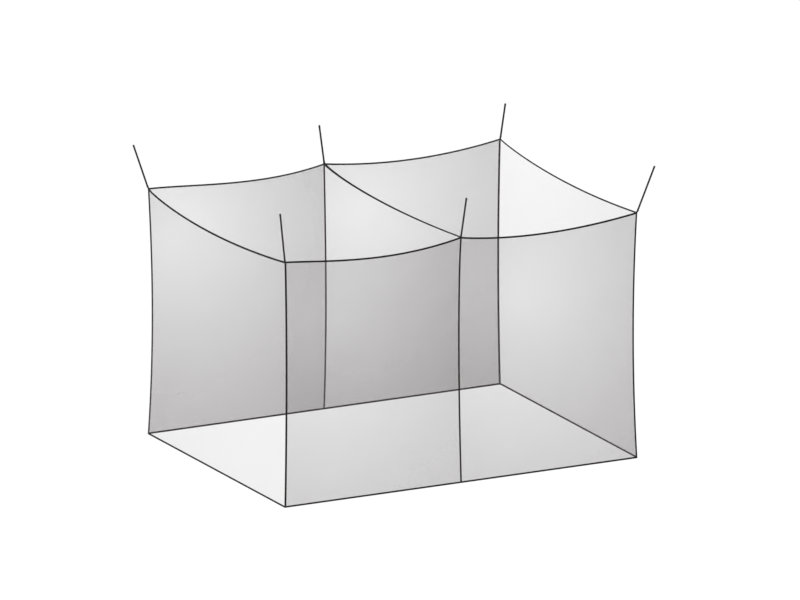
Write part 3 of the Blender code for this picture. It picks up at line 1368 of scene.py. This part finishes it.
@dataclass
class Cords:
    """The six braided cords, with the thread that holds their feet and binds their ends."""

    form: NetForm
    thread: bpy.types.Material
    diameter: float = 0.011
    start: float = 0.0060
    route_steps: int = 16
    # The braid
    carriers: int = 8
    diamond: float = 0.0058
    relief: float = 0.00042
    sides: int = 40
    ring_step: float = 0.00125
    round_end: float = 0.0022
    melted_end: float = 0.35
    # The thread, wound round the cord
    thread_radius: float = 0.00045
    thread_sides: int = 6
    bedded: float = 0.6  # how far out its middle is, as a share of its radius
    pressed: float = 0.96  # the winds' pitch, as a share of its thickness
    winds: int = 8
    wind_points: int = 20
    wound_from_end: float = 0.0125
    wound_from_foot: float = 0.0030
    # The foot's strands, which bulge a little, and the core inside them
    strands: int = 36
    strand_reach: float = 0.0045
    strand_clear: float = 0.0004
    strand_sunk: float = 0.0005
    strand_steps: int = 8
    bulge_at: float = 0.55
    bulge: float = 0.0006
    core_inside: float = 0.0008
    core_length: float = 0.0064
    core_wide: float = 0.0046
    core_narrow: float = 0.0018
    core_sides: int = 16
    core_steps: int = 6

    def line(self, point: LiftPoint) -> tuple[Vector, Vector]:
        """A cord's two ends.

        Args:
            point: The cord's lifting corner.

        Returns:
            Its lower end and its upper end.
        """
        foot = self.form.corner(point, self.form.lift_z)
        reach = point.outwards * point.cord_out + UP * point.cord_rise
        return foot + reach.normalized() * self.start, foot + reach

    @staticmethod
    def round_about(way: Vector) -> Callable[[float], Vector]:
        """Directions square to a cord.

        Args:
            way: The cord's direction.

        Returns:
            A function that gives the direction at an angle round the cord.
        """
        first = way.orthogonal().normalized()
        second = way.cross(first)
        return lambda angle: first * math.cos(angle) + second * math.sin(angle)

    def skin(self, length: float, turn: float, along: float) -> float:
        """The radius of a braided cord with its end melted round.

        Args:
            length: The cord's length.
            turn: The share of a turn round it.
            along: The length along it.

        Returns:
            The radius there.
        """
        right = turn * self.carriers + along / self.diamond
        left = turn * self.carriers - along / self.diamond
        over = (math.floor(right) + math.floor(left)) % 2
        crown = abs(math.sin(math.pi * (left if over else right)))
        inside = min(1.0, (length - along) / self.round_end)
        drawn = math.sqrt(max(self.melted_end, 1 - (1 - inside) ** 2))
        return (self.diameter / 2 - self.relief * (1 - crown)) * drawn

    def cord(self, point: LiftPoint, braid: bpy.types.Material) -> None:
        """Builds a cord with its bound end and its foot.

        Args:
            point: The cord's lifting corner.
            braid: The braided cord's material.
        """
        low, tip = self.line(point)
        length = (tip - low).length
        rings = round(length / self.ring_step)
        path = [low.lerp(tip, k / rings) for k in range(rings + 1)]
        shape = tube(path, partial(self.skin, length), self.sides)
        name = point.name
        piece = finished(f"braid_{name}", shape, [braid], f"cord_{name}")
        steps = self.route_steps
        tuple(low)
        [low.lerp(tip, k / steps) for k in range(steps + 1)]
        self.bound_end(point)
        self.sewn_foot(point)

    def strand(self, path: Sequence[Vector]) -> bmesh.types.BMesh:
        """A length of thread along a path."""
        return tube(path, lambda turn, along: self.thread_radius, self.thread_sides)

    def wound(self, start: Vector, way: Vector) -> bmesh.types.BMesh:
        """Thread wound round a cord.

        Args:
            start: Where the winding starts, on the cord's line.
            way: The cord's direction.

        Returns:
            The winding.
        """
        about, thin, points = self.round_about(way), self.thread_radius, self.wind_points
        wide = self.diameter / 2 + thin * self.bedded
        path = [
            start
            + way * (2 * thin * self.pressed * k / points)
            + about(FULL_TURN * k / points) * wide
            for k in range(self.winds * points + 1)
        ]
        return self.strand(path)

    def sewing(self, name: str, shape: bmesh.types.BMesh) -> bpy.types.Object:
        """Makes a piece of sewing thread on a cord."""
        return finished(name, shape, [self.thread])

    def bound_end(self, point: LiftPoint) -> bpy.types.Object:
        """Binds a cord's plain end with thread, so that it can't fray.

        Args:
            point: The cord's lifting corner.

        Returns:
            The piece.
        """
        low, tip = self.line(point)
        way = (tip - low).normalized()
        shape = self.wound(tip - way * self.wound_from_end, way)
        return self.sewing(f"bound_end_{point.name}", shape)

    def sewn_foot(self, point: LiftPoint) -> bpy.types.Object:
        """Builds the thread that is wound round a cord's foot and sewn down to the tape.

        Args:
            point: The cord's lifting corner.

        Returns:
            The piece.
        """
        low, tip = self.line(point)
        way = (tip - low).normalized()
        about, radius, steps = self.round_about(way), self.diameter / 2, self.strand_steps
        wide = radius + self.thread_radius * self.bedded
        shape = self.wound(low + way * self.wound_from_foot, way)
        tape = bpy.data.objects["top_binding"].data
        tape_skin = BVHTree.FromPolygons(
            [vertex.co for vertex in tape.vertices], [face.vertices for face in tape.polygons]
        )
        for k in range(self.strands):
            out = about(FULL_TURN * (k + 0.5) / self.strands)
            top = low + way * self.strand_reach + out * radius
            aim = low - way * self.strand_reach + out * (wide + self.strand_clear)
            spot, facing, _, _ = tape_skin.find_nearest(aim)
            bottom = spot - facing * self.strand_sunk
            middle = top.lerp(bottom, self.bulge_at) + out * self.bulge
            shares = [step / steps for step in range(steps + 1)]
            path = [top.lerp(middle, s).lerp(middle.lerp(bottom, s), s) for s in shares]
            add_mesh(shape, mesh_of("strand", self.strand(path)))
        taper = (self.core_wide - self.core_narrow) / self.core_length
        core = [
            low + way * (self.core_inside - self.core_length * k / self.core_steps)
            for k in range(self.core_steps + 1)
        ]
        plug = tube(core, lambda turn, along: self.core_wide - taper * along, self.core_sides)
        add_mesh(shape, mesh_of("core", plug))
        return self.sewing(f"sewn_foot_{point.name}", shape)

    def build(self) -> None:
        """Builds the cords."""
        braid = BraidFinish(self.carriers, self.diamond).material()
        for point in LIFT_POINTS.values():
            self.cord(point, braid)


# ---------------------------------------------------------------- studio


@dataclass
class Studio:
    """The pale floor, the soft light and the camera."""

    form: NetForm
    azimuth: float = -27.1
    elevation: float = 16.0
    metres_per_pixel: float = 0.005865
    picture: tuple[int, int] = (800, 600)
    corner_at: tuple[float, float] = (392.6, 200.3)
    camera_away: float = 12.0
    camera_sees: float = 400.0
    floor_below: float = 0.632
    floor_reach: float = 120.0
    floor_tone: float = 0.90
    floor_roughness: float = 0.9
    sky: float = 0.10
    sun_way: tuple[float, float, float] = (-0.30, -0.04, 1.0)
    sun_strength: float = 3.37
    sun_spread: float = 60.0

    def camera(self) -> None:
        """Places the camera so that the middle of the net's top falls where the picture has it."""
        turn, lift = math.radians(self.azimuth), math.radians(self.elevation)
        back = Vector(
            (math.sin(turn) * math.cos(lift), -math.cos(turn) * math.cos(lift), math.sin(lift))
        )
        right = Vector((math.cos(turn), math.sin(turn), 0))
        above = back.cross(right)
        off_x = self.picture[0] / 2 - self.corner_at[0]
        off_y = self.picture[1] / 2 - self.corner_at[1]
        middle = Vector((0, 0, self.form.lift_z))
        middle += (right * off_x - above * off_y) * self.metres_per_pixel
        data = bpy.data.cameras.new("camera")
        data.type = "ORTHO"
        data.ortho_scale = self.picture[0] * self.metres_per_pixel
        data.clip_end = self.camera_sees
        camera = placed("camera", data)
        camera.location = middle + back * self.camera_away
        camera.rotation_mode = "QUATERNION"
        camera.rotation_quaternion = (-back).to_track_quat("-Z", "Y")
        bpy.context.scene.camera = camera

    def floor(self) -> None:
        """Lays a plain pale floor."""
        nodes = NodeBook("pale_floor", self.floor_roughness, 0.0)
        nodes.shader.inputs["Base Color"].default_value = (*[self.floor_tone] * 3, 1.0)
        ground = bmesh.new()
        bmesh.ops.create_grid(ground, x_segments=1, y_segments=1, size=self.floor_reach)
        low = self.form.hem_z - self.floor_below
        bmesh.ops.translate(ground, verts=ground.verts, vec=UP * low)
        mesh = mesh_of("floor", ground)
        mesh.materials.append(nodes.material)
        placed("floor", mesh)

    def light(self) -> None:
        """Lights the net softly from above and a little from the left."""
        data = bpy.data.lights.new("soft_light", "SUN")
        data.energy = self.sun_strength
        data.angle = math.radians(self.sun_spread)
        light = placed("soft_light", data)
        light.rotation_mode = "QUATERNION"
        light.rotation_quaternion = Vector(self.sun_way).to_track_quat("Z", "Y")
        world = bpy.data.worlds.new("studio")
        world.use_nodes = True
        background = world.node_tree.nodes["Background"]
        background.inputs["Color"].default_value = (1, 1, 1, 1)
        background.inputs["Strength"].default_value = self.sky
        bpy.context.scene.world = world
        bpy.context.scene.view_settings.view_transform = "Standard"

    def build(self) -> None:
        """Sets the studio up."""
        self.camera()
        self.floor()
        self.light()


def main() -> None:
    """Builds the canopy and its studio."""
    logging.basicConfig(level=logging.INFO, format="%(name)s: %(message)s")
    form = NetForm()
    Studio(form).build()
    thread = SewingFinish().material()
    Cords(form, thread).build()
    Tapes(form, thread).build()
    NettingPanels(form).build()


if __name__ == "__main__":
    main()
